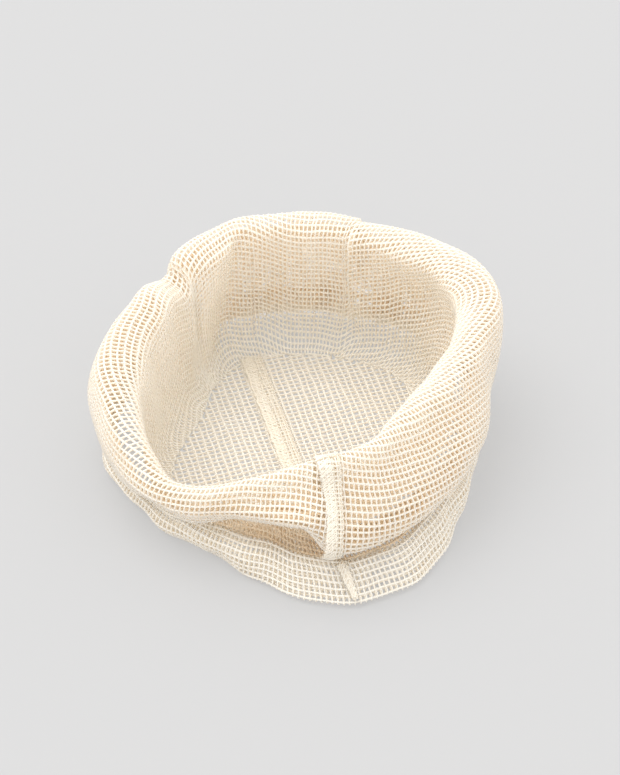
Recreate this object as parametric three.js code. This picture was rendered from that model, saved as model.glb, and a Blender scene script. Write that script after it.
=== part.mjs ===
// Mesh produce bag of cotton net, standing open on a table. Its mouth is turned out and down as a
// cuff, whose hem lies on the table all round, and the spare length is tucked in above the hem.
// Millimetres, +Z up, front towards -Y. The cloth's layers are plain closed sheets that follow its folds.
import * as THREE from "three";

// Driving dimensions
const CLOTH = 1.6; // thickness that the yarns of one layer of net take up
const HEM = 2.4; // the doubled net of the drawstring channel
const STRIP = 1.4; // overlocked seam allowance
const THREAD = 1.0; // row of hem stitches
const GAP = 0.35; // clearance between pieces that lie against each other
const SEAM = -74; // azimuth of the side seam, degrees from +X
const SIDE_FOLD = 106; // and of the fold opposite, where the cloth goes round from panel to panel
const SLIT = 2.0; // opening between the ends of the channel at the seam
const ALLOWANCE = 7.8; // degrees that the side seam's allowance takes up on the wall and the cuff, 11.5 mm
const ALLOWANCE_COLUMNS = 3; // steps across it, of which it keeps one on the hem, where it is folded in
const BOTTOM_ALLOWANCE = { width: 11, inset: 4 }; // of the bottom seam, and how far from the wall it ends
const RECESS = { from: -128, full: -108, until: -81, to: -76 }; // deep tuck, left of the side seam
const PULL = { in: 8, up: 10, down: 4, under: 7 }; // how it draws the cuff's fold in and up, and then down
const SETTLE = -86; // azimuth from which the fold comes down again, while the crease above it stays up
const SWAY = { most: 3.3, reach: 26 }; // degrees that the cuff leans towards the front beside the seam

// The folded cloth's outline at 16 azimuths, every 22.5 degrees from -180: radii and heights
const RIM_R = [86, 86, 86, 75.5, 71, 71.5, 70.5, 73, 84, 97, 89, 82.5, 79.5, 81.5, 77.5, 80];
const RIM_Z = [60, 50, 39.5, 46, 57, 64, 67, 69, 71, 73.5, 74.5, 75, 75.5, 74, 71.5, 67];
const BASE_R = [64, 73, 74, 68, 65, 64, 64, 66, 72, 76, 78, 74, 72, 72, 66, 59];
const FOLD_R = [92, 90, 85.5, 84, 91, 95, 91, 90, 89, 93.5, 94, 90, 88, 88, 87, 89];
const FOLD_Z = [15, 16, 22.5, 17.5, 24.5, 24.5, 26.5, 28.5, 22, 20, 20, 20, 20, 20, 18, 16];
const TUCK_R = [85, 82, 80.5, 73, 71, 79, 79, 80, 81, 86.5, 87.5, 83, 81, 81, 79, 81.5];
const KNEE_R = [91, 87, 83.5, 83, 86, 93, 89, 86.5, 87, 92, 93, 90, 88, 88, 87, 88.5];
const KNEE_Z = [10, 10, 12, 15, 14, 16, 18, 16, 13, 11, 11, 11, 11, 11, 11, 10];
const HEM_R = [92, 82.5, 79.5, 80, 97, 106, 97.5, 85, 87, 93.5, 95, 92, 91, 91, 90, 91];
const ROLL_IN = [11, 7, 1, 0, 0, 0, 3, 7, 9, 9, 7, 6, 6, 6, 6, 10]; // how much wider the roll is inwards
const BOW = [4, 4, 3, 3, 3, 4, 5, 6, 5, 4, 5, 5, 4, 4, 3, 4]; // how far the cuff's side bulges out

// Offsets of the section's control points from those radii and heights
const FOOT = { start: 16, flat: 5, out: 1, rise: 9 }; // the wall's foot, measured from BASE_R
const ROLL = { inner: 5, crown: 3.5, outer: 6, lift: 1.5, drop: 7, dip: 0.2 }; // the roll at the rim
const FOLD = { above: 8, in: 4, bend: 1 }; // the cuff's lower fold, and the bends either side of it
const SKIRT = { out: 1, share: 0.45 }; // the hem between the knee and the table

// Places along the cloth, counted in control points from the floor out over the rim to the hem
const WALL_FOOT = 0.5;
const RIM_TOP = 5.5;
const CUFF_END = 10.6;
const TUCK_END = 14.3;
const HEM_EDGE = 17;
const HALF_CUT = 0.04; // on each side of a line between two zones
const STITCH_ROWS = [14.95, 15.2];
const SWAY_PLACES = { from: 6, full: 10, until: 12, to: 16.5 };
const NORMAL_STEP = 0.02;

const TURN = 360;
const MEAN_RADIUS = 85;
const radians = THREE.MathUtils.degToRad;
const { smoothstep } = THREE.MathUtils;
const signed = (azimuth) => ((((azimuth + TURN / 2) % TURN) + TURN) % TURN) - TURN / 2;
const between = (x, { from, full, until, to }) => smoothstep(x, from, full) * (1 - smoothstep(x, until, to));

// Periodic cubic through a table of stations
function station(table, azimuth) {
  const x = (signed(azimuth) + TURN / 2) / (TURN / table.length);
  const i = Math.floor(x);
  const f = x - i;
  const [a, b, c, d] = [-1, 0, 1, 2].map((k) => table[(i + k + table.length) % table.length]);
  return b + 0.5 * f * (c - a + f * (2 * a - 5 * b + 4 * c - d + f * (3 * (b - c) + d - a)));
}

// Control points [radius, height] of the cloth's section at one azimuth, from floor to hem
function section(azimuth) {
  const radii = [RIM_R, ROLL_IN, BASE_R, FOLD_R, BOW, TUCK_R, KNEE_R, HEM_R].map((t) => station(t, azimuth));
  const [rim, rollIn, base, foldR, bow, tuck, knee, hem] = radii;
  const [top, foldTop, kneeZ] = [RIM_Z, FOLD_Z, KNEE_Z].map((t) => station(t, azimuth));
  const inner = rim - rollIn;
  const innerTop = top - ROLL.dip * rollIn;
  const crease = between(signed(azimuth), RECESS);
  const share = between(signed(azimuth), { ...RECESS, until: SETTLE });
  const [side, sideZ] = [foldR - (PULL.in / 2) * crease, foldTop + PULL.up * crease];
  const fold = foldR - PULL.in * share - PULL.under * (crease - share);
  const foldZ = foldTop + PULL.up * share - PULL.down * (crease - share);
  const floor = CLOTH / 2;
  return [
    [base - FOOT.start, floor],
    [base - FOOT.flat, floor],
    [base + FOOT.out, FOOT.rise],
    [(base + inner - ROLL.inner) / 2, innerTop / 2],
    [inner - ROLL.inner, innerTop - ROLL.drop],
    [inner - ROLL.crown, innerTop + ROLL.lift],
    [rim + ROLL.crown, top + ROLL.lift],
    [rim + ROLL.outer, top - ROLL.drop],
    [(rim + ROLL.inner + side) / 2 + bow, (top + sideZ) / 2],
    [side + bow / 2, sideZ + FOLD.above - PULL.under * (crease - share)],
    [fold, foldZ - FOLD.bend],
    [fold - FOLD.in, foldZ],
    [tuck, foldZ - FOLD.bend],
    [tuck, kneeZ + FOLD.bend],
    [knee - FOLD.in, kneeZ + FOLD.bend],
    [knee + FOLD.bend, kneeZ - FOLD.bend],
    [(knee + hem) / 2 + SKIRT.out, kneeZ * SKIRT.share],
    [hem, HEM / 2],
  ];
}

// Point of the cloth's middle surface, on a cubic B-spline of the section
function sheetPoint(azimuth, along) {
  const points = section(azimuth);
  const last = points.length - 1;
  const end = (p, q) => [2 * p[0] - q[0], 2 * p[1] - q[1]];
  const padded = [end(points[0], points[1]), ...points, end(points[last], points[last - 1])];
  const i = Math.min(Math.floor(along), last - 1);
  const f = along - i;
  const weights = [(1 - f) ** 3, 3 * f ** 3 - 6 * f * f + 4, -3 * f ** 3 + 3 * f * f + 3 * f + 1, f ** 3];
  let [radius, height] = [0, 0];
  weights.forEach((w, k) => {
    radius += (w / 6) * padded[i + k][0];
    height += (w / 6) * padded[i + k][1];
  });
  const beside = Math.max(0, 1 - (signed(azimuth - SEAM) / SWAY.reach) ** 2) ** 2;
  const angle = radians(azimuth - SWAY.most * beside * between(along, SWAY_PLACES));
  return new THREE.Vector3(radius * Math.cos(angle), radius * Math.sin(angle), height);
}

// Normal on the cloth's wrong side, which faces in on the wall and out on the cuff
function sheetNormal(azimuth, along) {
  const [lower, upper] = [along - NORMAL_STEP, Math.min(along + NORMAL_STEP, HEM_EDGE)];
  const up = sheetPoint(azimuth, upper).sub(sheetPoint(azimuth, lower));
  const round = sheetPoint(azimuth + NORMAL_STEP, along).sub(sheetPoint(azimuth - NORMAL_STEP, along));
  return up.cross(round).normalize();
}

// Closed sheet between rows of points on its two faces; rows run along the cloth, columns round it
function closedSheet(front, back) {
  const rows = front.length;
  const columns = front[0].length;
  const positions = [...front.flat(), ...back.flat()].flatMap((p) => [p.x, p.y, Math.max(p.z, 0)]);
  const at = (face, row, column) => (face * rows + row) * columns + column;
  const index = [];
  const quad = (a, b, c, d) => index.push(a, b, c, a, c, d);
  for (let r = 0; r < rows - 1; r++) {
    for (let c = 0; c < columns - 1; c++) {
      quad(at(0, r, c), at(0, r + 1, c), at(0, r + 1, c + 1), at(0, r, c + 1));
      quad(at(1, r, c), at(1, r, c + 1), at(1, r + 1, c + 1), at(1, r + 1, c));
    }
    quad(at(0, r, 0), at(1, r, 0), at(1, r + 1, 0), at(0, r + 1, 0));
    quad(at(0, r, columns - 1), at(0, r + 1, columns - 1), at(1, r + 1, columns - 1), at(1, r, columns - 1));
  }
  for (let c = 0; c < columns - 1; c++) {
    quad(at(0, 0, c), at(0, 0, c + 1), at(1, 0, c + 1), at(1, 0, c));
    quad(at(0, rows - 1, c), at(1, rows - 1, c), at(1, rows - 1, c + 1), at(0, rows - 1, c + 1));
  }
  const geometry = new THREE.BufferGeometry();
  geometry.setAttribute("position", new THREE.Float32BufferAttribute(positions, 3));
  geometry.setIndex(index);
  geometry.computeVertexNormals();
  return geometry;
}

const spread = (from, to, count) =>
  Array.from({ length: count + 1 }, (_, i) => from + ((to - from) * i) / count);

// Layer of cloth from one azimuth to another, with a row of points at each place along the cloth that is
// listed, its middle lifted off the cloth's own middle surface
function layer({ azimuths, places, thickness, lift = 0 }) {
  const faces = [thickness / 2, -thickness / 2].map((side) =>
    places.map((along) =>
      azimuths.map((azimuth) =>
        sheetPoint(azimuth, along).addScaledVector(sheetNormal(azimuth, along), lift + side),
      ),
    ),
  );
  return closedSheet(...faces);
}

const cotton = () => new THREE.MeshStandardMaterial({ color: 0xf0e9db, roughness: 0.95, metalness: 0 });
const thread = () => new THREE.MeshStandardMaterial({ color: 0xf6f0e4, roughness: 0.9, metalness: 0 });

const bag = new THREE.Group();

function add(name, geometry, material) {
  const mesh = new THREE.Mesh(geometry, material);
  mesh.name = name;
  bag.add(mesh);
}

// The panels are the two halves of one cloth, from the side seam to the side fold, in the zones between
// the cloth's folds. Columns stand closer together under the seam's allowance, on the left panel.
const degrees = (length) => THREE.MathUtils.radToDeg(length / MEAN_RADIUS);
const COLUMNS = 25;
const panels = {
  right: (inset) => spread(SEAM + inset, SIDE_FOLD - degrees(GAP / 2), COLUMNS),
  left: (inset) => {
    const edge = SEAM + TURN - ALLOWANCE;
    const beside = spread(edge, SEAM + TURN - inset, ALLOWANCE_COLUMNS);
    return [...spread(SIDE_FOLD + degrees(GAP / 2), edge, COLUMNS).slice(0, -1), ...beside];
  },
};
const rows = {
  wall: spread(WALL_FOOT, RIM_TOP - HALF_CUT, 7),
  cuff: spread(RIM_TOP + HALF_CUT, CUFF_END - HALF_CUT, 9),
  tuck: spread(CUFF_END + HALF_CUT, TUCK_END - HALF_CUT, 9),
  hem: spread(TUCK_END + HALF_CUT, HEM_EDGE, 5),
};
const zones = [
  { zone: "wall", thickness: CLOTH, inset: degrees(GAP / 2) },
  { zone: "cuff", thickness: CLOTH, inset: degrees(GAP / 2) },
  { zone: "tuck", thickness: CLOTH, inset: degrees(GAP / 2) },
  { zone: "hem", thickness: HEM, inset: degrees(SLIT / 2) },
];
for (const [side, azimuthsFrom] of Object.entries(panels)) {
  for (const { zone, thickness, inset } of zones) {
    const geometry = layer({ azimuths: azimuthsFrom(inset), places: rows[zone], thickness });
    add(`${side}_panel_${zone}`, geometry, cotton());
  }
}

// The floor of the bag: half a disc each side of the bottom seam, which runs from side seam to side fold
function slab(points, height, thickness) {
  const outline = new THREE.Shape(points.map((p) => new THREE.Vector2(p.x, p.y)));
  const geometry = new THREE.ExtrudeGeometry(outline, { depth: thickness, bevelEnabled: false });
  return geometry.translate(0, 0, height);
}
for (const [side, azimuthsFrom] of Object.entries(panels)) {
  const ring = azimuthsFrom(degrees(GAP / 2)).map((azimuth) => {
    const point = sheetPoint(azimuth, WALL_FOOT);
    return point.multiplyScalar(1 - GAP / Math.hypot(point.x, point.y));
  });
  add(`${side}_panel_base`, slab(ring, 0, CLOTH), cotton());
}

// The seams' overlocked allowances: the side seam's is folded onto the left panel, the bottom seam's lies
// on the left half of the floor
const LIFT = CLOTH / 2 + GAP + STRIP / 2;
const HEM_LIFT = HEM / 2 + GAP + STRIP / 2;
const strips = [
  { zone: "wall", places: rows.wall.slice(2), columns: ALLOWANCE_COLUMNS, inset: GAP / 2, lift: LIFT },
  { zone: "cuff", places: rows.cuff.slice(0, -1), columns: ALLOWANCE_COLUMNS, inset: GAP / 2, lift: LIFT },
  { zone: "hem", places: rows.hem.slice(1, -1), columns: 1, inset: SLIT / 2, lift: HEM_LIFT },
];
for (const { zone, places, columns, inset, lift } of strips) {
  const azimuths = panels.left(degrees(inset)).slice(-columns - 1);
  add(`side_seam_${zone}_allowance`, layer({ azimuths, places, thickness: STRIP, lift }), thread());
}
const [front, back] = [SEAM, SIDE_FOLD].map((azimuth) => sheetPoint(azimuth, WALL_FOOT).setZ(0));
const ahead = back.clone().sub(front).normalize();
const across = new THREE.Vector3(-ahead.y, ahead.x, 0).multiplyScalar(BOTTOM_ALLOWANCE.width);
front.addScaledVector(ahead, BOTTOM_ALLOWANCE.inset);
back.addScaledVector(ahead, -BOTTOM_ALLOWANCE.inset);
const corners = [front, back, back.clone().add(across), front.clone().add(across)];
add("bottom_seam_allowance", slab(corners, CLOTH + GAP, STRIP), thread());

// The row of stitches that closes each half of the drawstring channel, up to the side seam's allowance
const STITCH_LIFT = HEM / 2 + GAP + THREAD / 2;
for (const [side, azimuthsFrom] of Object.entries(panels)) {
  const all = azimuthsFrom(degrees(SLIT / 2));
  const azimuths = side === "left" ? all.slice(0, -2) : all;
  const stitches = layer({ azimuths, places: STITCH_ROWS, thickness: THREAD, lift: STITCH_LIFT });
  add(`${side}_hem_stitching`, stitches, thread());
}

// The origin is on the table below the middle of the bag
const box = new THREE.Box3().setFromObject(bag);
const middle = box.getCenter(new THREE.Vector3());
bag.position.set(-middle.x, -middle.y, -box.min.z);
bag.updateMatrixWorld(true);

export default bag;
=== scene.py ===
import math

import bpy
import numpy as np
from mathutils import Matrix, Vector


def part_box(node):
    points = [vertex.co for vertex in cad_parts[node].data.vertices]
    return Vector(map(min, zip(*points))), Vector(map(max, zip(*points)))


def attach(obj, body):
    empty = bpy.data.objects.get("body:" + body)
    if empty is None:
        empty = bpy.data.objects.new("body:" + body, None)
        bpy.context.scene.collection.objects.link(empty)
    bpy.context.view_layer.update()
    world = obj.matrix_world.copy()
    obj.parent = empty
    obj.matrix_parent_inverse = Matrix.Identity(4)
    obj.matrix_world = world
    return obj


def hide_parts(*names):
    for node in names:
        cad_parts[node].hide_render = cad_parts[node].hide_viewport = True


# The looks of the mesh produce bag. The net is built yarn by yarn: each warp is a pair of thin strands
# that hold the wefts between them and cross from side to side, as in a leno weave, and each weft is one
# thicker yarn. Both follow the cloth's surface, which has the outline of the CAD model's cloth and adds
# its pleats and creases.
# Lengths are in millimetres up to the point where a mesh is made, and azimuths in degrees from +X.

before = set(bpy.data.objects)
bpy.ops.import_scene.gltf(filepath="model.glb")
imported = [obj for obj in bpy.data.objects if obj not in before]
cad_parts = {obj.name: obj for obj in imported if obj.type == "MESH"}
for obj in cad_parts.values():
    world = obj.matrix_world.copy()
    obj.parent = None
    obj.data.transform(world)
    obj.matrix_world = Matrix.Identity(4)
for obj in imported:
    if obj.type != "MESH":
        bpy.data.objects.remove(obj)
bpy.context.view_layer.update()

MM = 0.001
TURN = 360.0
UP = np.array([0.0, 0.0, 1.0])

# The net
PITCH = 2.66  # from one warp to the next
ROW = 3.05  # from one weft to the next
WARPS = 120  # in one panel, which is half the bag's girth
WEFT_RADIUS = 0.56
STRAND_RADIUS = 0.38  # of each of the two strands of a warp
STRAND_SPREAD = 0.31  # how far the strands stand from the warp's middle where they hold a weft
STRAND_DEPTH = 0.52  # how far in front of and behind the weft's middle they pass there
STRAND_CROSSING = 0.27  # and from the warp's middle where they cross each other
STRAND_SIDES, WEFT_SIDES, THREAD_SIDES, FIBRE_SIDES = 4, 5, 6, 3  # of the tube that each is made as
STRAND_TONE = 0.3  # by which one strand of a warp is lighter and the other is darker
DRIFT = 0.2  # how far the yarns stray from their places
WAVER = 0.4  # how far neighbouring rows stray together
UNEVEN = 0.14  # share of its radius by which a weft is thicker and thinner in places

# The doubled net round the mouth
CHANNEL_ROWS = 7
CHANNEL_HALF = 0.78  # from the middle of the doubled net to each of its layers
CHANNEL_SLIP = 0.55  # half cells by which the inner layer strays from its place behind the outer one
CHANNEL_DRIFT, CHANNEL_DEPTH = 0.3, 0.8  # shares of the drift and the depth that warps have elsewhere
EDGE_TURNS = [55.0, 0.0, -55.0]  # degrees at which a warp has a point on its way round the edge
STITCH = 3.0
STITCH_RADIUS = 0.22

# One more layer of net inside the tuck and the cuff, which stands for spare cloth folded in there
SPARE_DEPTH = 2.6  # from the net in front of it
SPARE_TOP = 7.0  # place along the cuff that it reaches up to

# Azimuths of the side seam and the side fold
SEAM = -74.0
SIDE_FOLD = 106.0

# The folded cloth's outline at 16 azimuths, every 22.5 degrees from -180, as in the CAD model
RIM_R = [86, 86, 86, 75.5, 71, 71.5, 70.5, 73, 84, 97, 89, 82.5, 79.5, 81.5, 77.5, 80]
RIM_Z = [60, 50, 39.5, 46, 57, 64, 67, 69, 71, 73.5, 74.5, 75, 75.5, 74, 71.5, 67]
BASE_R = [64, 73, 74, 68, 65, 64, 64, 66, 72, 76, 78, 74, 72, 72, 66, 59]
FOLD_R = [92, 90, 85.5, 84, 91, 95, 91, 90, 89, 93.5, 94, 90, 88, 88, 87, 89]
FOLD_Z = [15, 16, 22.5, 17.5, 24.5, 24.5, 26.5, 28.5, 22, 20, 20, 20, 20, 20, 18, 16]
TUCK_R = [85, 82, 80.5, 73, 71, 79, 79, 80, 81, 86.5, 87.5, 83, 81, 81, 79, 81.5]
KNEE_R = [91, 87, 83.5, 83, 86, 93, 89, 86.5, 87, 92, 93, 90, 88, 88, 87, 88.5]
KNEE_Z = [10, 10, 12, 15, 14, 16, 18, 16, 13, 11, 11, 11, 11, 11, 11, 10]
HEM_R = [92, 82.5, 79.5, 80, 97, 106, 97.5, 85, 87, 93.5, 95, 92, 91, 91, 90, 91]
ROLL_IN = [11, 7, 1, 0, 0, 0, 3, 7, 9, 9, 7, 6, 6, 6, 6, 10]  # how much further in the roll's inner side is
BOW = [4, 4, 3, 3, 3, 4, 5, 6, 5, 4, 5, 5, 4, 4, 3, 4]
# The deep tuck left of the seam: azimuths where it starts, is full, starts to end and ends, and how far it
# moves the cuff's fold
RECESS = {"start": -128, "full": -108, "until": -81, "end": -76}
RECESS_MOVES = {"inwards": 8, "up": 10, "down": 4, "under": 7}
SETTLE = -86  # azimuth from which the fold comes down again, while the crease above it stays up
# Degrees that the cuff's warps lean towards the front at the seam, and how far from it they still do
SWAY = {"most": 3.3, "reach": 26.0}
FLOOR_LINE = 0.9  # height of the cloth's middle where it lies on the table
BASE_INSET = 0.35  # from the cloth's foot to the edge of the CAD model's floor

# How far the rows run from the rim towards the cuff's fold, at the same 16 azimuths: the bag is pulled awry
ROW_SHIFT = [47, 39, 26, 26, 33, 46, 58.5, 68.5, 82, 91, 68, 55, 52, 66, 60, 52]

# Places along the cloth, counted in control points from the floor out over the rim to the hem
WALL_FOOT = 0.5
RIM_TOP = 5.5
CUFF_END = 10.6
HEM_EDGE = 17.0

# Pleats that take up spare width: azimuth, half width and overlap in degrees, depth and drop in
# millimetres
PLEATS = [
    {"at": 136.0, "half": 18.0, "overlap": 5.5, "depth": 0.0, "drop": 10.0},
    {"at": 69.0, "half": 14.0, "overlap": 5.0, "depth": 2.0, "drop": 2.5},
]

# Waves of the cloth round the bag: size, number in a turn, slope along the cloth and phase
WALL_WAVES = [(0.9, 7, 0.55, 0.4), (0.6, 11, -0.4, 2.1), (0.35, 19, 0.9, 4.0)]
WALL_WAVE_SHARE = 0.9
HEM_WAVES = [(0.8, 13, 0.0, 1.0), (0.5, 23, 0.0, 0.0)]
# A crease down the back left of the wall: its azimuth at one place along the cloth, degrees that it leans
# to the left for each place further down, half width in degrees and depth in millimetres
WALL_CREASE = {"at": 116.0, "level": 4.5, "lean": 3.5, "half": 5.0, "depth": 2.6}
# At the back right the roll sags in over a hollow of the wall: each one's place along the cloth, width and
# size
LEDGE = {"out": (3.3, 0.6, 3.2), "in": (4.5, 0.6, 2.6)}

# Low creases of the bag's floor: middle in x and y, direction across in radians, height and half width
FLOOR_CREASES = [
    (-30, 6, 0.5, 1.8, 9),
    (18, -20, -0.9, 1.4, 7),
    (-12, -30, 1.9, 1.2, 6),
    (30, 30, 0.9, 1.6, 8),
]
FLOOR_CREASE_REACH = 34.0  # half their length
FLOOR_HEIGHT = 1.0  # of the floor's net
WARP_DRIFT_ON_FLOOR, WEFT_DRIFT_ON_FLOOR = 0.25, 0.3

# The seam allowances: widths at the start, the middle and the end of each strip
CUFF_STRIP = (8.0, 7.0, 10.5)
WALL_STRIP = (10.5, 10.0, 10.0)
HEM_STRIP = (2.2, 4.0, 4.4)
BOTTOM_STRIP = (10.0, 10.0, 10.0)
HEM_STRIP_START, HEM_STRIP_LENGTH = 3.0, 17.0  # from the hem's edge up the channel
STRIP_LIFT = 1.0  # from the cloth's middle to the strip's
GIRTH_RADIUS = 80.0  # of the bend that the strips beside the side seam follow
LAYERS = ((-0.3, 0.0), (0.2, 0.4))  # height of each layer of net, and cells by which it is out of step
LAYER_YARN = 0.4  # radius
LAYER_WARP, LAYER_WEFT = 1.9, 2.1  # from one to the next
BINDING = 4.6  # width that the looper threads bind
LOOPERS = ((4.6, 1.25, 0.36), (1.2, 2.5, 0.2))  # slant, pitch and radius of each looper thread
LOOP_STEPS = 16
CHAIN, CHAIN_RADIUS = 2.4, 0.22  # length of a needle thread's stitch
FIBRES, FIBRE_RADIUS = 120, 0.055  # loose ones on each strip

# The yarn's look: texture scales for a metre, and strengths of what makes its colour uneven: the plies'
# share is painted shade in the grooves between them, while the patches, the flecks and each yarn's tone are
# its own uneven colour
FIBRE_SCALE, PATCH_SCALE = 2600.0, 90.0
PLY_SHADE, MEAN_SHADE = 0.16, 0.62
PATCH_SHADE, FLECK_SHADE, TONE_SHADE = 0.8, 0.5, 0.08
LET_THROUGH, MORE_INWARDS = 0.28, 0.4  # shares of the light that goes through

# The studio
TABLE_HALF = 3.0
TABLE_GLOW = 0.38  # keeps the shadows on the table soft
SKY = 1.28
KEY_LIGHT = {"place": (-0.45, 0.25, 1.2), "spread": 50.0, "strength": 1.34, "colour": (1.0, 0.985, 0.96)}
CAMERA = {"elevation": 45.0, "distance": 1.5, "width": 0.2952, "right": 0.0071, "up": 0.0279}
SENSOR = 36.0


def smoothstep(low, high, x):
    share = np.clip((x - low) / (high - low), 0.0, 1.0)
    return share * share * (3.0 - 2.0 * share)


def between(low, low_full, high_full, high, x):
    """1 from low_full to high_full, fading to 0 at low and high."""
    return smoothstep(low, low_full, x) * (1.0 - smoothstep(high_full, high, x))


def bump(centre, width, x):
    return np.exp(-(((x - centre) / width) ** 2))


def signed(azimuth):
    """The azimuth between -180 and 180."""
    return (np.asarray(azimuth, float) + 180.0) % TURN - 180.0


def station(table, azimuth):
    """Periodic cubic through a table of stations."""
    table = np.asarray(table, float)
    count = len(table)
    x = (signed(azimuth) + 180.0) / (TURN / count)
    i = np.floor(x).astype(int)
    f = x - i
    a, b, c, d = (table[(i + k) % count] for k in (-1, 0, 1, 2))
    return b + 0.5 * f * (c - a + f * (2 * a - 5 * b + 4 * c - d + f * (3 * (b - c) + d - a)))


def section(azimuth):
    """Control points of the cloth's section, from floor to hem: two arrays, radii and heights."""
    radii = [RIM_R, ROLL_IN, BASE_R, FOLD_R, BOW, TUCK_R, KNEE_R, HEM_R]
    rim, roll_in, base, fold, bow, tuck, knee, hem = (station(t, azimuth) for t in radii)
    top, fold_z, knee_z = (station(t, azimuth) for t in (RIM_Z, FOLD_Z, KNEE_Z))
    inner, inner_top = rim - roll_in, top - 0.2 * roll_in
    turned = signed(azimuth)
    crease = between(RECESS["start"], RECESS["full"], RECESS["until"], RECESS["end"], turned)
    share = between(RECESS["start"], RECESS["full"], SETTLE, RECESS["end"], turned)
    moves = RECESS_MOVES
    side, side_z = fold - moves["inwards"] / 2 * crease, fold_z + moves["up"] * crease
    settled = crease - share
    fold = fold - moves["inwards"] * share - moves["under"] * settled
    fold_z = fold_z + moves["up"] * share - moves["down"] * settled
    floor = np.full_like(rim, FLOOR_LINE)
    on_floor = [(base - 16, floor), (base - 5, floor)]
    up_wall = [
        (base + 1, floor + 8),
        ((base + inner - 5) / 2, inner_top / 2),
        (inner - 5, inner_top - 7),
    ]
    over_rim = [(inner - 3.5, inner_top + 1.5), (rim + 3.5, top + 1.5)]
    down_cuff = [
        (rim + 6, top - 7),
        ((rim + 5 + side) / 2 + bow, (top + side_z) / 2),
        (side + bow / 2, side_z + 8 - moves["under"] * settled),
        (fold, fold_z - 1),
    ]
    into_tuck = [(fold - 4, fold_z), (tuck, fold_z - 1), (tuck, knee_z + 1), (knee - 4, knee_z + 1)]
    out_to_hem = [
        (knee + 1, knee_z - 1),
        ((knee + hem) / 2 + 1, knee_z * 0.45),
        (hem, floor + CHANNEL_HALF - 0.2),
    ]
    points = on_floor + up_wall + over_rim + down_cuff + into_tuck + out_to_hem
    return np.stack([p[0] for p in points]), np.stack([p[1] for p in points])


def spline(control, along):
    """Cubic B-spline of the control values, with straight ends."""
    last = len(control) - 1
    before, after = 2 * control[:1] - control[1:2], 2 * control[-1:] - control[-2:-1]
    padded = np.concatenate([before, control, after])
    i = np.minimum(np.floor(along).astype(int), last - 1)
    f = along - i
    weights = [(1 - f) ** 3, 3 * f**3 - 6 * f**2 + 4, -3 * f**3 + 3 * f**2 + 3 * f + 1, f**3]
    total = 0.0
    for k, weight in enumerate(weights):
        total = total + weight / 6.0 * np.take_along_axis(padded, (i + k)[None], axis=0)[0]
    return total


def outline_offset():
    """How far the CAD model was moved in plan to centre it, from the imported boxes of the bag's floor."""
    ring = np.arange(-180.0, 180.0, 0.5)
    radius = spline(section(ring)[0], np.full_like(ring, WALL_FOOT)) - BASE_INSET
    x, y = radius * np.cos(np.radians(ring)), radius * np.sin(np.radians(ring))
    left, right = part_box("left_panel_base"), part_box("right_panel_base")
    low_y = min(left[0][1], right[0][1]) / MM
    high_y = max(left[1][1], right[1][1]) / MM
    offset_x = (left[0][0] / MM - x.min() + right[1][0] / MM - x.max()) / 2
    offset_y = (low_y - y.min() + high_y - y.max()) / 2
    return np.array([offset_x, offset_y, 0.0])


OFFSET = outline_offset()


def sum_of_waves(table, angle, along):
    """Sum of the waves in a table at the top of this script."""
    return sum(size * np.sin(count * angle + slope * along + phase) for size, count, slope, phase in table)


def wall_crease(azimuth, along):
    """A crease whose left side is pressed in as far as its right side stands out."""
    aside = azimuth - WALL_CREASE["at"] - WALL_CREASE["lean"] * (WALL_CREASE["level"] - along)
    aside = aside / WALL_CREASE["half"]
    depth = WALL_CREASE["depth"] * aside * np.exp(0.5 - 0.5 * aside**2)
    return depth * between(1.2, 2.5, 4.6, 5.4, along)


def ledge(azimuth, along):
    """The sag of the roll, and the hollow of the wall below it."""
    (out_at, out_width, out_size), (in_at, in_width, in_size) = LEDGE["out"], LEDGE["in"]
    sag = out_size * bump(out_at, out_width, along) - in_size * bump(in_at, in_width, along)
    return between(2.0, 24.0, 48.0, 62.0, azimuth) * sag


def wrinkles(azimuth, along):
    """How far folds and creases move the cloth outwards."""
    angle, turned = np.radians(azimuth), signed(azimuth)
    on_wall = WALL_WAVE_SHARE * between(0.8, 3.0, 9.0, 10.8, along)
    on_wall = on_wall * sum_of_waves(WALL_WAVES, angle, along)
    on_hem = between(14.0, 15.5, 18.0, 19.0, along) * sum_of_waves(HEM_WAVES, angle, along)
    return on_wall - wall_crease(turned, along) + ledge(turned, along) + on_hem


def cloth_point(azimuth, along):
    """Points of the cloth's middle surface, for arrays of one shape."""
    radii, heights = section(azimuth)
    radius, height = spline(radii, along), spline(heights, along)
    radius = radius + wrinkles(azimuth, along)
    beside = signed(azimuth - SEAM) / SWAY["reach"]
    lean = SWAY["most"] * between(6.0, 10.0, 12.0, 16.5, along) * np.clip(1.0 - beside**2, 0.0, 1.0) ** 2
    turned = azimuth - lean
    for pleat in PLEATS:
        share = signed(azimuth - pleat["at"]) / pleat["half"]
        swing = np.where(np.abs(share) < 1.0, np.sin(math.pi * share), 0.0)
        swing = swing * between(1.2, 3.2, 8.0, 10.6, along)
        turned = turned - pleat["overlap"] * swing
        radius = radius + pleat["depth"] * swing
        dropped = pleat["drop"] * between(-0.8, 0.5, 0.5, 1.0, share)
        height = height - dropped * between(2.0, 5.0, 7.0, 10.4, along)
    angle = np.radians(turned)
    flat = np.stack([radius * np.cos(angle), radius * np.sin(angle), height], axis=-1)
    return flat + OFFSET


def unit(vectors):
    return vectors / np.maximum(np.linalg.norm(vectors, axis=-1, keepdims=True), 1e-9)


def cloth_out(azimuth, along):
    """Unit normals on the cloth's wrong side, which faces in on the wall and out on the cuff."""
    ahead = cloth_point(azimuth, np.minimum(along + 0.02, HEM_EDGE)) - cloth_point(azimuth, along - 0.02)
    around = cloth_point(azimuth + 0.1, along) - cloth_point(azimuth - 0.1, along)
    return unit(np.cross(ahead, around))


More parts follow.
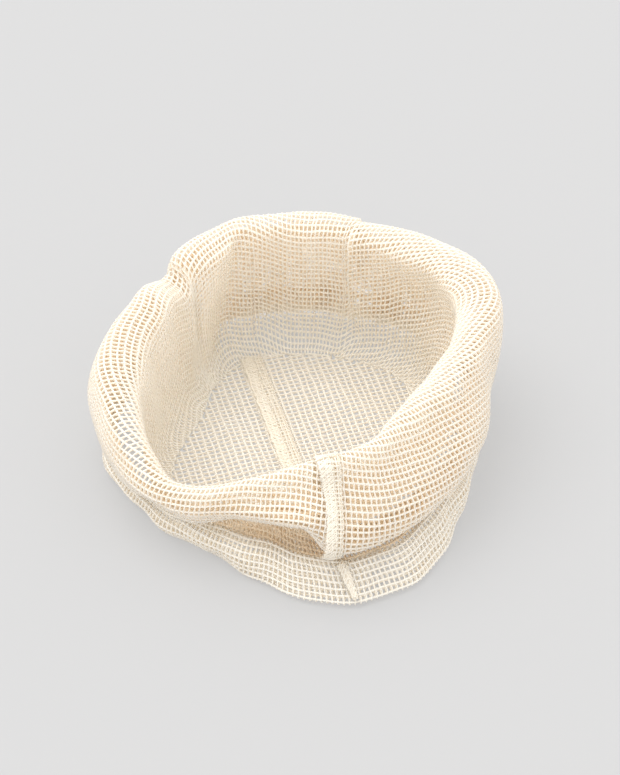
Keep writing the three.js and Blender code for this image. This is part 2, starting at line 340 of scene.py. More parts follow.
def steady_noise(rng, shape, x, waves=3, lowest=0.02, highest=0.09):
    """Smooth noise along the last axis of x, different for each of shape, about from -1 to 1."""
    total = np.zeros(shape + (x.shape[-1],))
    for _ in range(waves):
        rate = rng.uniform(lowest, highest, shape)[..., None]
        phase = rng.uniform(0, 2 * math.pi, shape)[..., None]
        total += np.sin(2 * math.pi * rate * x + phase)
    return total / waves


def even_azimuths(panel, along):
    """Azimuths that part a panel's girth at one place along the cloth into equal steps."""
    fine = np.linspace(panel["from"], panel["to"], 1201)
    girth = cloth_point(fine, np.full_like(fine, along))
    length = np.concatenate([[0.0], np.cumsum(np.linalg.norm(np.diff(girth, axis=0), axis=1))])
    return np.interp(np.linspace(0.0, length[-1], 2 * WARPS + 1), length, fine)


class Net:
    """A panel's net along one run of the cloth, with points at each half cell: the first axis runs
    round the bag from the seam or the fold where the panel starts, and the second along the warps.
    Rows keep their distance from each other, so a column has more of them where it is longer. They are
    counted from the run's first end, or from the rim and further down where shift is larger."""

    def __init__(self, panel, first, end, shift, rng):
        places = np.linspace(first, end, 301)
        foot, girth, mouth = (even_azimuths(panel, along)[:, None] for along in (1.0, 8.0, 15.5))
        at_foot = 1.0 - smoothstep(0.8, 3.6, places)
        at_mouth = smoothstep(10.0, 14.0, places)
        # the wall's warps stand half a cell beside the cuff's
        beside = np.gradient(girth, axis=0) * between(0.8, 3.6, 4.8, 6.6, places)
        azimuths = girth + beside + at_foot * (foot - girth) + at_mouth * (mouth - girth)
        dense = cloth_point(azimuths, np.broadcast_to(places, azimuths.shape))
        steps = np.linalg.norm(np.diff(dense, axis=1), axis=2)
        length = np.concatenate([np.zeros((len(azimuths), 1)), np.cumsum(steps, axis=1)], axis=1)
        self.lengths = length[:, -1]
        self.drop = np.zeros(len(azimuths))
        if shift:
            to_rim = np.array([np.interp(-RIM_TOP, -places, row) for row in length])
            self.drop = station(shift, azimuths[:, 0]) - to_rim
            self.drop = self.drop - self.drop.min()
        drop = self.drop[:, None]
        column = np.arange(len(azimuths))[:, None]
        half_rows = np.arange(int((self.lengths + self.drop).max() / ROW * 2) + 2)
        waver = np.sin(0.043 * column + 0.21 * half_rows + 1.0)
        waver = waver + 0.8 * np.sin(0.091 * column - 0.13 * half_rows)
        wanted = half_rows * ROW / 2 - drop + WAVER * waver * smoothstep(2, 8, half_rows)
        self.along = np.stack([np.interp(row, at, places) for row, at in zip(wanted, length)])
        azimuths = [np.interp(row, at, line) for row, at, line in zip(wanted, length, azimuths)]
        self.azimuths = np.stack(azimuths)
        self.first = np.maximum((self.drop / ROW * 2).astype(int) - 1, 0)
        self.last = np.minimum(((self.lengths + self.drop) / ROW * 2).astype(int) + 1, half_rows[-1])
        self.points = cloth_point(self.azimuths, self.along)
        self.out = cloth_out(self.azimuths, self.along)
        self.side = unit(np.gradient(self.points, axis=0))
        self.ahead = unit(np.gradient(self.points, axis=1))
        self.columns = len(self.azimuths)
        self.half_rows = half_rows
        across = np.arange(self.columns)
        self.warp_drift = DRIFT * steady_noise(rng, (self.columns,), half_rows)
        self.warp_tone = rng.normal(0.0, 1.0, self.columns)
        self.weft_drift = DRIFT * steady_noise(rng, (len(half_rows),), across).T
        self.weft_tone = rng.normal(0.0, 1.0, len(half_rows))
        uneven = UNEVEN * steady_noise(rng, (len(half_rows),), across, 4, 0.03, 0.2).T
        self.weft_thick = WEFT_RADIUS * (1.0 + uneven)


class Tubes:
    """Yarns gathered into one mesh, each a tube of a few sides with closed ends."""

    def __init__(self):
        self.corners, self.faces, self.ply, self.tone = [], [], [], []
        self.count = 0

    def add(self, path, out, radius, sides, tone):
        """One yarn along path, an array of points; out is the cloth's normal at each of them."""
        points = len(path)
        ahead = unit(np.gradient(path, axis=0))
        across = unit(np.cross(out, ahead))
        away = np.cross(ahead, across)
        angles = 2 * math.pi * (np.arange(sides) + 0.5) / sides
        cosine, sine = np.cos(angles)[:, None], np.sin(angles)[:, None]
        radius = np.broadcast_to(np.asarray(radius, float), (points,))[:, None, None]
        ring = path[:, None] + radius * (cosine * across[:, None] + sine * away[:, None])
        length = np.concatenate([[0.0], np.cumsum(np.linalg.norm(np.diff(path, axis=0), axis=1))])
        ply = np.empty((points, sides, 3))
        ply[..., 0] = length[:, None]
        ply[..., 1], ply[..., 2] = np.cos(angles), np.sin(angles)
        number = self.count + np.arange(points * sides).reshape(points, sides)
        nxt = np.roll(number, -1, axis=1)
        quads = np.stack([number[:-1], nxt[:-1], nxt[1:], number[1:]], axis=-1)
        self.faces += [quads.reshape(-1, 4), number[:1, ::-1], number[-1:]]
        self.corners.append(ring.reshape(-1, 3))
        self.ply.append(ply.reshape(-1, 3))
        self.tone.append(np.full(points * sides, float(tone)))
        self.count += points * sides

    def mesh(self, name, material):
        corners = (np.concatenate(self.corners) * MM).astype(np.float32)
        loops = np.concatenate([f.reshape(-1) for f in self.faces])
        sizes = np.concatenate([np.full(len(f), f.shape[1]) for f in self.faces])
        mesh = bpy.data.meshes.new(name)
        mesh.vertices.add(len(corners))
        mesh.vertices.foreach_set("co", corners.reshape(-1))
        mesh.loops.add(len(loops))
        mesh.loops.foreach_set("vertex_index", loops.astype(np.int32))
        mesh.polygons.add(len(sizes))
        starts = np.concatenate([[0], np.cumsum(sizes)[:-1]])
        mesh.polygons.foreach_set("loop_start", starts.astype(np.int32))
        mesh.polygons.foreach_set("use_smooth", np.ones(len(sizes), bool))
        ply = mesh.attributes.new("ply", "FLOAT_VECTOR", "POINT")
        ply.data.foreach_set("vector", np.concatenate(self.ply).astype(np.float32).reshape(-1))
        tone = mesh.attributes.new("tone", "FLOAT", "POINT")
        tone.data.foreach_set("value", np.concatenate(self.tone).astype(np.float32))
        mesh.update(calc_edges=True)
        mesh.materials.append(material)
        piece = bpy.data.objects.new(name, mesh)
        bpy.context.scene.collection.objects.link(piece)
        return piece


def strand_offsets(count, first=0):
    """Depths and spreads of a warp's two strands at the half rows from first on; wefts are at odd ones."""
    place = np.arange(first, first + count)
    at_weft = (place % 2 == 1).astype(float)
    swap = np.where((place // 2) % 2 == 0, 1.0, -1.0) * at_weft
    return STRAND_CROSSING + (STRAND_DEPTH - STRAND_CROSSING) * at_weft, STRAND_SPREAD * swap


def add_warps(tubes, net, first, last, lift=0.0, start=1):
    """Pairs of strands that cross between the wefts and hold each weft from both sides, in the half
    rows from first to last, which are given for each column."""
    for column in range(start, net.columns, 2):
        run = slice(first[column], last[column] + 1)
        path, out, side = net.points[column, run], net.out[column, run], net.side[column, run]
        if len(path) < 3:
            continue
        depth, spread = strand_offsets(len(path), first[column])
        path = path + net.warp_drift[column, run, None] * side + lift * out
        for strand in (1.0, -1.0):
            centres = path + strand * (depth[:, None] * out + spread[:, None] * side)
            tone = net.warp_tone[column] + STRAND_TONE * strand
            tubes.add(centres, out, STRAND_RADIUS, STRAND_SIDES, tone)


def runs_of(mask, spread):
    """Slices where the mask holds, each made longer by a number of places at both ends."""
    edges = np.flatnonzero(np.diff(np.concatenate([[0], mask.astype(int), [0]])))
    return [
        slice(max(start - spread, 0), min(end + spread, len(mask)))
        for start, end in zip(edges[::2], edges[1::2])
    ]


def add_wefts(tubes, net, first, last, lift=0.0, start=1):
    """One yarn for each odd half row, through all the columns that have it between first and last."""
    for row in range(start, len(net.half_rows), 2):
        for run in runs_of((first <= row) & (row <= last), 1):
            if run.stop - run.start < 4:
                continue
            path = net.points[run, row] + net.weft_drift[run, row, None] * net.ahead[run, row]
            out, radius = net.out[run, row], net.weft_thick[run, row]
            tubes.add(path + lift * out, out, radius, WEFT_SIDES, net.weft_tone[row])


def channel_warp(net, column, rows, slide):
    """A warp of the doubled net: down its face, round the edge and up inside it, where it stands to the
    side by slide; returns its points and the normals there."""
    turn = np.radians(EDGE_TURNS)[:, None]
    face = slice(1, rows + 1)
    edge, out, ahead = net.points[column, 1], net.out[column, 1], -net.ahead[column, 1]
    around = np.sin(turn) * out + np.cos(turn) * ahead
    down = (net.points[column, face] + CHANNEL_HALF * net.out[column, face])[::-1]
    back = bilinear(net.points, column + slide, np.arange(1.0, rows + 1.0))
    back = back - CHANNEL_HALF * net.out[column, face]
    path = np.concatenate([down, edge + CHANNEL_HALF * around, back])
    return path, np.concatenate([net.out[column, face][::-1], around, -net.out[column, face]])


def add_channel(tubes, net, rows):
    """The doubled net round the mouth, whose inner layer is out of step with the outer one."""
    columns = np.arange(net.columns)
    aside = 1.0 + CHANNEL_SLIP * np.sin(0.16 * columns + 2.0)
    higher = CHANNEL_SLIP * np.sin(0.11 * columns + 0.7)
    for column in range(1, net.columns, 2):
        slide = aside[column] * np.linspace(0.0, 1.0, rows) ** 0.5
        path, normal = channel_warp(net, column, rows, slide)
        side = net.side[column, 1]
        depth, spread = strand_offsets(len(path), 1)
        drift = CHANNEL_DRIFT * np.interp(np.arange(len(path)), net.half_rows, net.warp_drift[column])
        path = path + drift[:, None] * side
        for strand in (1.0, -1.0):
            centres = path + strand * (CHANNEL_DEPTH * depth[:, None] * normal + spread[:, None] * side)
            tone = net.warp_tone[column] + STRAND_TONE * strand
            tubes.add(centres, normal, STRAND_RADIUS, STRAND_SIDES, tone)
    first, last = np.zeros(net.columns, int), np.full(net.columns, rows)
    add_wefts(tubes, net, first, last, CHANNEL_HALF)
    for row in range(2, rows + 1, 2):
        path, out = bilinear(net.points, columns.astype(float), row + higher), net.out[:, row]
        radius = net.weft_thick[:, row]
        tubes.add(path - CHANNEL_HALF * out, out, radius, WEFT_SIDES, net.weft_tone[row])


def add_stitches(tubes, net, row, rng):
    """The row of lockstitches that closes the channel: a thread on its face and one inside it."""
    path, out = net.points[:, row], net.out[:, row]
    length = np.concatenate([[0.0], np.cumsum(np.linalg.norm(np.diff(path, axis=0), axis=1))])
    fine = np.arange(0.0, length[-1], 0.5)
    points = np.stack([np.interp(fine, length, path[:, k]) for k in range(3)], axis=-1)
    away = unit(np.stack([np.interp(fine, length, out[:, k]) for k in range(3)], axis=-1))
    dip = np.cos(2 * math.pi * fine / STITCH) > 0.8
    for side in (1.0, -1.0):
        rise = side * (CHANNEL_HALF + 0.8 - 0.8 * dip)
        tone = 1.0 + 0.3 * rng.normal()
        tubes.add(points + away * rise[:, None], away, STITCH_RADIUS, THREAD_SIDES, tone)


def floor_rise(x, y):
    """Low creases of the net where it doesn't lie flat on the table."""
    rise = 0.0
    for centre_x, centre_y, angle, height, width in FLOOR_CREASES:
        across = (x - centre_x) * math.cos(angle) + (y - centre_y) * math.sin(angle)
        along = -(x - centre_x) * math.sin(angle) + (y - centre_y) * math.cos(angle)
        rise = rise + height * np.exp(-((across / width) ** 2) - (along / FLOOR_CREASE_REACH) ** 2)
    return rise


class Floor:
    """Half of the bag's floor, between the bottom seam and the foot of one panel's wall."""

    def __init__(self, panel):
        azimuths = even_azimuths(panel, 1.0)
        ring = cloth_point(azimuths, np.full_like(azimuths, WALL_FOOT))
        self.ends = (ring[0], ring[-1])
        self.length = float(np.linalg.norm(ring[-1] - ring[0]))
        self.heading = (ring[-1] - ring[0]) / self.length
        self.side = np.array([self.heading[1], -self.heading[0], 0.0])
        ahead, across = (ring - ring[0]) @ self.heading, (ring - ring[0]) @ self.side
        self.direction = np.sign(across[len(ring) // 2])
        self.ahead = np.arange(PITCH / 4, self.length, PITCH / 2)
        self.reach = np.interp(self.ahead, np.maximum.accumulate(ahead), np.abs(across))

    def place(self, ahead, across):
        """Points by millimetres along the bottom seam and away from it."""
        points = self.ends[0] + ahead[:, None] * self.heading + self.direction * across[:, None] * self.side
        share = np.clip(across / np.interp(ahead, self.ahead, self.reach), 0.0, 1.0)
        points[:, 2] = FLOOR_HEIGHT + floor_rise(points[:, 0], points[:, 1]) * (1.0 - share**2)
        return points


def add_base(tubes, floor, rng):
    """Warps from the bottom seam out to the wall, and wefts along the seam; returns the net's area."""
    for column in range(1, len(floor.ahead), 2):
        steps = int(floor.reach[column] / (ROW / 2))
        if steps < 3:
            continue
        across = np.arange(steps + 1) * ROW / 2
        path = floor.place(np.full(steps + 1, floor.ahead[column]), across)
        depth, spread = strand_offsets(steps + 1)
        drift = WARP_DRIFT_ON_FLOOR * steady_noise(rng, (1,), np.arange(steps + 1))[0]
        path = path + drift[:, None] * floor.heading
        normal = np.broadcast_to(UP, path.shape)
        tone = rng.normal()
        for strand in (1.0, -1.0):
            centres = path + strand * (depth[:, None] * UP + spread[:, None] * floor.heading)
            centres[:, 2] = np.maximum(centres[:, 2], STRAND_RADIUS)
            tubes.add(centres, normal, STRAND_RADIUS, STRAND_SIDES, tone + STRAND_TONE * strand)
    for row in range(int(floor.reach.max() / ROW)):
        across = (row + 0.5) * ROW
        columns = np.flatnonzero(floor.reach > across)
        if len(columns) < 4:
            continue
        path = floor.place(floor.ahead[columns], np.full(len(columns), across))
        drift = WEFT_DRIFT_ON_FLOOR * steady_noise(rng, (1,), np.arange(len(columns)))[0]
        path = path + drift[:, None] * floor.side
        tubes.add(path, np.broadcast_to(UP, path.shape), WEFT_RADIUS, WEFT_SIDES, rng.normal())
    return float(floor.reach.sum()) * PITCH / 2 * MM * MM


def bilinear(grid, columns, rows):
    """Values of a grid at fractional columns and rows."""
    columns = np.clip(columns, 0.0, grid.shape[0] - 1.001)
    rows = np.clip(rows, 0.0, grid.shape[1] - 1.001)
    c, r = columns.astype(int), rows.astype(int)
    cf, rf = (columns - c)[..., None], (rows - r)[..., None]
    near = grid[c, r] * (1 - rf) + grid[c, r + 1] * rf
    far = grid[c + 1, r] * (1 - rf) + grid[c + 1, r + 1] * rf
    return near * (1 - cf) + far * cf


def seam_surface(net, start):
    """Surface that leaves the seam level with the cloth, by millimetres from the seam where a panel ends
    and along it from start. It curves with the bag's girth, but doesn't follow the tuck beside the seam."""
    radial = unit((net.points[-1] - OFFSET) * [1.0, 1.0, 0.0])
    facing = (net.out[-1] * radial).sum(axis=-1, keepdims=True)
    around = unit(np.cross(net.ahead[-1], net.out[-1]))
    around = around * np.sign((around * net.side[-1]).sum(axis=-1, keepdims=True))
    at_seam = np.concatenate([net.points[-1], net.out[-1], around, facing], axis=-1)
    at_seam = at_seam[None].repeat(2, axis=0)  # bilinear needs a second column

    def surface(across, along):
        values = bilinear(at_seam, np.zeros_like(across), (start + along) / (ROW / 2))
        points, outwards, sideways = values[..., :3], unit(values[..., 3:6]), unit(values[..., 6:9])
        bend = (across**2 / (2 * GIRTH_RADIUS))[..., None] * values[..., 9:]
        return points - across[..., None] * sideways - bend * outwards, outwards

    return surface


def floor_surface(floor):
    """The floor beside the bottom seam, on its left, by millimetres from the seam and along it."""
    left = floor.direction * floor.side

    def surface(across, along):
        points = floor.ends[0] + along[..., None] * floor.heading + across[..., None] * left
        points[..., 2] = FLOOR_HEIGHT + floor_rise(points[..., 0], points[..., 1])
        return points, np.broadcast_to(UP, points.shape)

    return surface


class Strip:
    """A seam allowance folded to one side: widths are given at its start, its middle and its end."""

    def __init__(self, surface, length, widths, lift, rng):
        self.surface, self.length, self.lift = surface, length, lift
        self.stations = np.linspace(0.0, length, 200)
        self.widths = np.interp(self.stations, [0.0, 0.55 * length, length], widths)
        self.widths = self.widths * (1.0 + 0.05 * steady_noise(rng, (1,), self.stations, 4, 0.02, 0.2)[0])
        self.flutter = steady_noise(rng, (1,), self.stations, 3, 0.02, 0.08)[0]
        self.width = float(self.widths.mean())
        self.bound = min(1.0, BINDING / self.width)

    def place(self, across, along, height):
        """Points at shares across, 0 at the seam and 1 at the cut edge, millimetres along, and heights."""
        along = np.clip(along, 0.0, self.length)
        width = np.interp(along, self.stations, self.widths)
        flutter = np.interp(along, self.stations, self.flutter)
        points, out = self.surface(across * width, along)
        arch = self.lift + 0.5 * np.sin(math.pi * np.clip(across, 0.0, 1.0)) + 0.5 * flutter * across**2
        return points + out * (arch + height)[..., None], out

    def thread(self, tubes, across, along, height, radius, tone, sides=WEFT_SIDES):
        across, along, height = np.broadcast_arrays(across, along, height)
        path, out = self.place(across, along, height)
        tubes.add(path, out, radius, sides, tone)


def add_layers(tubes, strip, rng):
    """Two layers of net, out of step with each other."""
    along = np.arange(0.0, strip.length, 1.0)
    count = max(2, int(strip.width / LAYER_WARP))
    for height, step in LAYERS:
        for k in range(count):
            stray = 0.03 * steady_noise(rng, (1,), along, 3, 0.02, 0.1)[0]
            across = (k + 0.35 + step) / count + stray
            strip.thread(tubes, across, along, height, LAYER_YARN, rng.normal())
        for k in range(int(strip.length / LAYER_WEFT)):
            across = np.linspace(0.0, 1.0 + 0.03 * rng.normal(), 7)
            start = (k + rng.uniform(0.35, 0.65)) * LAYER_WEFT
            strip.thread(tubes, across, start + 0.5 * across, height, LAYER_YARN, rng.normal())


def add_loopers(tubes, strip, rng):
    """Looper threads that go to and fro over the cut edge and bind it."""
    for slant, pitch, radius in LOOPERS:
        angle = np.arange(0.0, 2 * math.pi * (strip.length + slant) / pitch, 2 * math.pi / LOOP_STEPS)
        share = 0.5 - 0.5 * np.cos(angle)
        across = 1.03 - strip.bound * (1.0 - share)
        wobble = 0.6 * steady_noise(rng, (1,), angle, 4, 0.02, 0.12)[0]
        place = angle / (2 * math.pi) * pitch - slant * share + wobble
        height = 0.1 + 0.3 * np.sin(angle) * np.sin(math.pi * np.clip(share, 0.03, 0.97)) ** 0.4
        for run in runs_of((place > 0.0) & (place < strip.length), 0):
            if run.stop - run.start > 4:
                tone = 0.3 + 0.6 * rng.normal()
                strip.thread(tubes, across[run], place[run], height[run], radius, tone, THREAD_SIDES)


def add_needle_threads(tubes, strip):
    """A chain of stitches beside the seam, and one where the looper threads end."""
    along = np.arange(0.0, strip.length, 0.35)
    for share in (0.04, 1.0 - strip.bound):
        across = share + 0.35 / strip.width * np.sin(2 * math.pi * along / CHAIN)
        height = 0.55 + 0.12 * np.cos(4 * math.pi * along / CHAIN)
        strip.thread(tubes, across, along, height, CHAIN_RADIUS, 0.6, THREAD_SIDES)


def add_fibres(tubes, strip, rng):
    """Short loose fibres along the cut edge."""
    for _ in range(FIBRES):
        across = np.linspace(rng.uniform(0.75, 1.0), rng.uniform(1.05, 1.25), 5)
        along = rng.uniform(0.0, strip.length) + np.linspace(0, rng.normal(0, 1.4), 5)
        height = rng.uniform(-0.2, 0.5) + rng.normal(0, 0.6) * np.linspace(0, 1, 5) ** 2
        strip.thread(tubes, across, along, height, FIBRE_RADIUS, 0.5, FIBRE_SIDES)


def node_maker(material):
    """A function that adds a node and sets its inputs, which are given by name or number, or links them."""
    tree = material.node_tree

    def make(kind, values=None, **options):
        node = tree.nodes.new(kind)
        for key, value in options.items():
            setattr(node, key, value)
        for key, value in (values or {}).items():
            if isinstance(value, bpy.types.NodeSocket):
                tree.links.new(value, node.inputs[key])
            else:
                node.inputs[key].default_value = value
        return node

    return make


def arithmetic(make, operation, *values, **options):
    return make("ShaderNodeMath", dict(enumerate(values)), operation=operation, **options).outputs[0]


def noise(make, scale):
    place = make("ShaderNodeTexCoord").outputs["Object"]
    return make("ShaderNodeTexNoise", {"Vector": place, "Scale": scale, "Detail": 3.0}).outputs[0]


def yarn_colour(make, light, shaded, warm_shade, twist, fibre):
    """Sockets with the colour of the yarn, with painted shade in the grooves between its plies and painted
    warm shade on the side that faces the next layer of cloth, with the relief of its plies and fibres, and
    with a share that is 1 on that side. The plies turn once in a twist, in millimetres."""
    ply = make("ShaderNodeAttribute", attribute_name="ply")
    tone = make("ShaderNodeAttribute", attribute_name="tone")
    length, cosine, sine = make("ShaderNodeSeparateXYZ", {0: ply.outputs["Vector"]}).outputs
    turn = arithmetic(make, "MULTIPLY", length, 2 * math.pi / twist)
    first = arithmetic(make, "MULTIPLY", arithmetic(make, "SINE", turn), cosine)
    plies = arithmetic(make, "MULTIPLY_ADD", arithmetic(make, "COSINE", turn), sine, first)
    fibres, patches = noise(make, FIBRE_SCALE), noise(make, PATCH_SCALE)
    # the plies' pattern darkens the grooves between them, which is painted shade; the patches, flecks and
    # tone below are the yarn's own uneven colour
    share = arithmetic(make, "MULTIPLY_ADD", plies, PLY_SHADE, MEAN_SHADE)
    uneven = arithmetic(make, "MULTIPLY_ADD", patches, PATCH_SHADE, -PATCH_SHADE / 2)
    share = arithmetic(make, "ADD", share, uneven)
    share = arithmetic(make, "MULTIPLY_ADD", tone.outputs["Fac"], TONE_SHADE, share)
    flecks = arithmetic(make, "MULTIPLY_ADD", fibres, FLECK_SHADE, -FLECK_SHADE / 2)
    share = arithmetic(make, "ADD", share, flecks, use_clamp=True)
    colour = make("ShaderNodeMix", {0: share, 6: shaded, 7: light}, data_type="RGBA").outputs[2]
    # painted warm shade and bounced light on the side that faces the next layer of cloth
    inward_shade = make("ShaderNodeMapRange", {0: sine, 1: 0.35, 2: -0.85, 3: 0.0, 4: 1.0}).outputs[0]
    whole = make("ShaderNodeMix", {0: inward_shade, 6: colour, 7: warm_shade}, data_type="RGBA").outputs[2]
    return whole, arithmetic(make, "MULTIPLY_ADD", fibres, fibre, plies), inward_shade


def yarn_material(name, light, shaded, warm_shade, twist, fibre, sheen):
    """Cotton yarn: twisted plies, fine fibres and uneven cream colour, with painted shade in the grooves
    between the plies and painted warm shade on the side that faces the next layer of cloth."""
    material = bpy.data.materials.new(name)
    material.use_nodes = True
    material.node_tree.nodes.clear()
    make = node_maker(material)
    colour, relief, inward_shade = yarn_colour(make, light, shaded, warm_shade, twist, fibre)
    bump_map = make("ShaderNodeBump", {"Height": relief, "Strength": 0.6, "Distance": 0.00008})
    values = {
        "Base Color": colour,
        "Normal": bump_map.outputs[0],
        "Roughness": 0.92,
        "Specular IOR Level": 0.2,
        "Sheen Weight": sheen,
        "Sheen Roughness": 0.5,
    }
    shader = make("ShaderNodeBsdfPrincipled", values).outputs[0]
    # some light goes through the yarn, and more of it leaves on the side that faces the next layer
    through = make("ShaderNodeBsdfTranslucent", {"Color": (1.0, 0.93, 0.82, 1.0)}).outputs[0]
    passed = arithmetic(make, "MULTIPLY_ADD", inward_shade, MORE_INWARDS, LET_THROUGH)
    outside = make("ShaderNodeMixShader", {0: passed, 1: shader, 2: through}).outputs[0]
    # and what meets the surface from inside goes on freely
    inside = make("ShaderNodeBsdfTransparent").outputs[0]
    backfacing = make("ShaderNodeNewGeometry").outputs["Backfacing"]
    yarn = make("ShaderNodeMixShader", {0: backfacing, 1: outside, 2: inside})
    make("ShaderNodeOutputMaterial", {"Surface": yarn.outputs[0]})
    return material


# The yarn's colours: a light and a darker one, mixed by the ply grooves (painted shade) and by the yarn's
# own uneven tone, and a warm one that is painted warm shade on the side facing the next layer of cloth
LIGHT, SHADED, WARM_SHADE = (0.96, 0.945, 0.90, 1.0), (0.95, 0.90, 0.80, 1.0), (0.98, 0.82, 0.61, 1.0)
# the tucked-in net's colours are darker and warmer than the rest, painted shade for its place deep in the
# tuck
TUCK_LIGHT_IN_SHADE, TUCK_SHADED = (0.92, 0.81, 0.65, 1.0), (0.87, 0.69, 0.49, 1.0)
# the doubled hem's warm colour is painted warm shade, weaker than elsewhere
HEM_WARM_SHADE = (0.95, 0.89, 0.78, 1.0)
THREAD_LIGHT, THREAD_SHADED = (0.93, 0.90, 0.83, 1.0), (0.89, 0.83, 0.72, 1.0)
NET = yarn_material("cotton_net", LIGHT, SHADED, WARM_SHADE, 0.9, 0.8, 0.1)
SHADED_TUCK_NET = yarn_material("cotton_net_tucked_in_shaded", TUCK_LIGHT_IN_SHADE, TUCK_SHADED, WARM_SHADE, 0.9, 0.8, 0.05)
CHANNEL_NET = yarn_material("hem_net", LIGHT, SHADED, HEM_WARM_SHADE, 0.9, 0.8, 0.1)
# the overlock thread's third colour is painted shade on the side that faces the next layer of cloth
OVERLOCK = yarn_material("overlock_thread", THREAD_LIGHT, THREAD_SHADED, SHADED, 0.7, 1.0, 0.1)

PANELS = [
    {"side": "right", "from": SEAM, "to": SIDE_FOLD},
    {"side": "left", "from": SIDE_FOLD, "to": SEAM + TURN},
]


def finish_piece(piece, node):
    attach(piece, "root")
    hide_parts(node)


def finish_net(tubes, node, material):
    """Makes a piece of net, hangs it on the root and hides the CAD part that it stands for."""
    piece = tubes.mesh(f"net_{node}", material)
    finish_piece(piece, node)


def row_area(rows):
    """Area of cloth with a number of half rows in each column."""
    return float(np.maximum(rows, 0)[1::2].sum()) * ROW / 2 * PITCH * MM * MM


def make_panel(panel, rng):
    """All the net of one panel and its stitches; returns what the seams beside it follow."""
    side = panel["side"]
    upper = Net(panel, CUFF_END, WALL_FOOT, ROW_SHIFT, rng)
    lower = Net(panel, HEM_EDGE, CUFF_END, None, rng)
    rim = np.maximum((upper.along > RIM_TOP).sum(axis=1), upper.first)
    channel = np.full(lower.columns, 2 * CHANNEL_ROWS)
    for zone, net, first, last in (("wall", upper, rim, upper.last), ("cuff", upper, upper.first, rim)):
        tubes = Tubes()
        add_warps(tubes, net, first, last)
        add_wefts(tubes, net, first, last)
        finish_net(tubes, f"{side}_panel_{zone}", NET)

    # the tuck's own net, and the spare layer inside it, which reaches up inside the cuff; both take the
    # tucked-in net's darker, warmer colours, painted shade for their place in the tuck
    tubes = Tubes()
    for lift, start in ((0.0, 1), (-SPARE_DEPTH, 2)):
        add_warps(tubes, lower, channel, lower.last, lift, start)
        add_wefts(tubes, lower, channel, lower.last, lift, start)
    spare = np.maximum((upper.along > SPARE_TOP).sum(axis=1), upper.first)
    add_warps(tubes, upper, upper.first, spare, -SPARE_DEPTH, 2)
    add_wefts(tubes, upper, upper.first, spare, -SPARE_DEPTH, 2)
    area = 2 * row_area(lower.last - channel) + row_area(spare - upper.first)
    finish_net(tubes, f"{side}_panel_tuck", SHADED_TUCK_NET)

    tubes = Tubes()
    add_channel(tubes, lower, 2 * CHANNEL_ROWS)
    finish_net(tubes, f"{side}_panel_hem", CHANNEL_NET)

    tubes = Tubes()
    floor = Floor(panel)
    area = add_base(tubes, floor, rng)
    finish_net(tubes, f"{side}_panel_base", NET)

    tubes = Tubes()
    add_stitches(tubes, lower, 2 * CHANNEL_ROWS - 1, rng)
    thread = tubes.mesh(f"thread_{side}_hem_stitching", OVERLOCK)
    finish_piece(thread, f"{side}_hem_stitching")
    return upper, lower, rim, floor


def make_seams(upper, lower, rim, floor, rng):
    """The side seam's allowance down the wall, the cuff and the channel, and the bottom seam's."""
    start = upper.drop[-1]
    height = rim[-1] * ROW / 2 - start
    depth = upper.lengths[-1] - height
    cuff, wall = seam_surface(upper, start), seam_surface(upper, start + height)
    hem, bottom = seam_surface(lower, HEM_STRIP_START), floor_surface(floor)
    runs = [
        ("side_seam_cuff_allowance", cuff, height, CUFF_STRIP, STRIP_LIFT),
        ("side_seam_wall_allowance", wall, depth, WALL_STRIP, STRIP_LIFT),
        ("side_seam_hem_allowance", hem, HEM_STRIP_LENGTH, HEM_STRIP, STRIP_LIFT + CHANNEL_HALF),
        ("bottom_seam_allowance", bottom, floor.length, BOTTOM_STRIP, STRIP_LIFT),
    ]
    for node, surface, reach, widths, lift in runs:
        strip = Strip(surface, reach, widths, lift, rng)
        tubes = Tubes()
        add_layers(tubes, strip, rng)
        add_loopers(tubes, strip, rng)
        add_needle_threads(tubes, strip)
        add_fibres(tubes, strip, rng)
        finish_piece(tubes.mesh(f"overlocked_{node}", OVERLOCK), node)


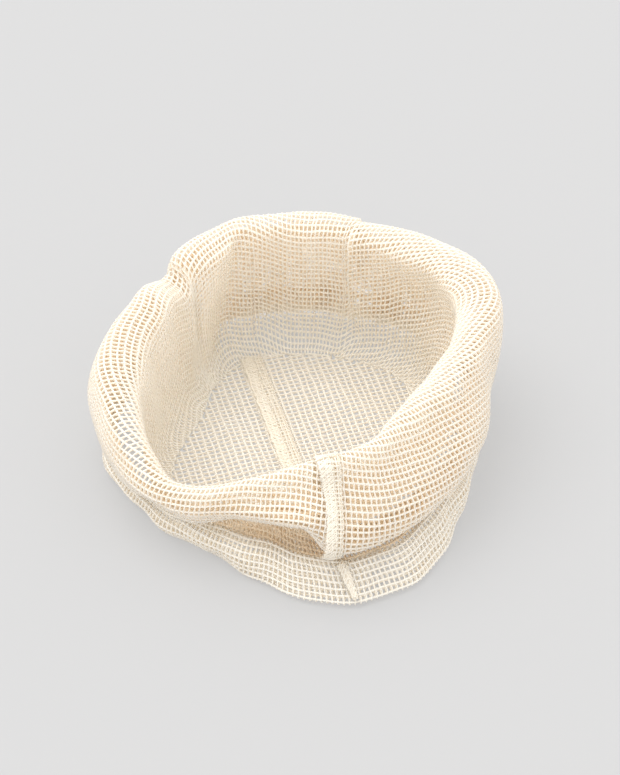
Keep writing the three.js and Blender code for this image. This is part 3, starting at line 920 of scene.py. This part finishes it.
def make_stage():
    """A plain pale table."""
    mesh = bpy.data.meshes.new("table")
    half = TABLE_HALF
    corners = [(-half, -half, 0), (half, -half, 0), (half, half, 0), (-half, half, 0)]
    mesh.from_pydata(corners, [], [(0, 1, 2, 3)])
    table = bpy.data.objects.new("table", mesh)
    bpy.context.scene.collection.objects.link(table)
    material = bpy.data.materials.new("pale_table")
    material.use_nodes = True
    shader = material.node_tree.nodes["Principled BSDF"]
    shader.inputs["Base Color"].default_value = (0.21, 0.21, 0.212, 1.0)
    shader.inputs["Emission Color"].default_value = (1.0, 1.0, 1.0, 1.0)
    shader.inputs["Emission Strength"].default_value = TABLE_GLOW
    shader.inputs["Roughness"].default_value = 0.9
    mesh.materials.append(material)


def aim(thing, target):
    away = Vector(target) - thing.location
    thing.rotation_euler = away.to_track_quat("-Z", "Y").to_euler()


def soft_sun(name, place, spread, strength, colour):
    light = bpy.data.lights.new(name, "SUN")
    light.angle, light.energy, light.color = math.radians(spread), strength, colour
    lamp = bpy.data.objects.new(name, light)
    lamp.location = place
    bpy.context.scene.collection.objects.link(lamp)
    aim(lamp, (0.0, 0.0, 0.0))


def make_light():
    scene = bpy.context.scene
    scene.view_settings.view_transform = "Standard"
    world = bpy.data.worlds.new("studio")
    world.use_nodes = True
    background = world.node_tree.nodes["Background"]
    background.inputs["Color"].default_value = (1.0, 0.995, 0.99, 1.0)
    background.inputs["Strength"].default_value = SKY
    scene.world = world
    soft_sun("key", **KEY_LIGHT)


def make_camera():
    """The photo's view: width is that of its frame at the distance of what it is aimed at."""
    elevation = math.radians(CAMERA["elevation"])
    back = Vector((0.0, -math.cos(elevation), math.sin(elevation)))
    upwards = Vector((0.0, math.sin(elevation), math.cos(elevation)))
    target = Vector(OFFSET * MM) + Vector((CAMERA["right"], 0.0, 0.0)) + CAMERA["up"] * upwards
    camera = bpy.data.cameras.new("camera")
    camera.sensor_fit = "HORIZONTAL"
    camera.sensor_width = SENSOR
    camera.lens = SENSOR * CAMERA["distance"] / CAMERA["width"]
    body = bpy.data.objects.new("camera", camera)
    body.location = target + back * CAMERA["distance"]
    bpy.context.scene.collection.objects.link(body)
    aim(body, target)
    bpy.context.scene.camera = body


make_stage()
make_light()
make_camera()
generator = np.random.default_rng(11)
for panel in PANELS:
    made = make_panel(panel, generator)
make_seams(*made, generator)
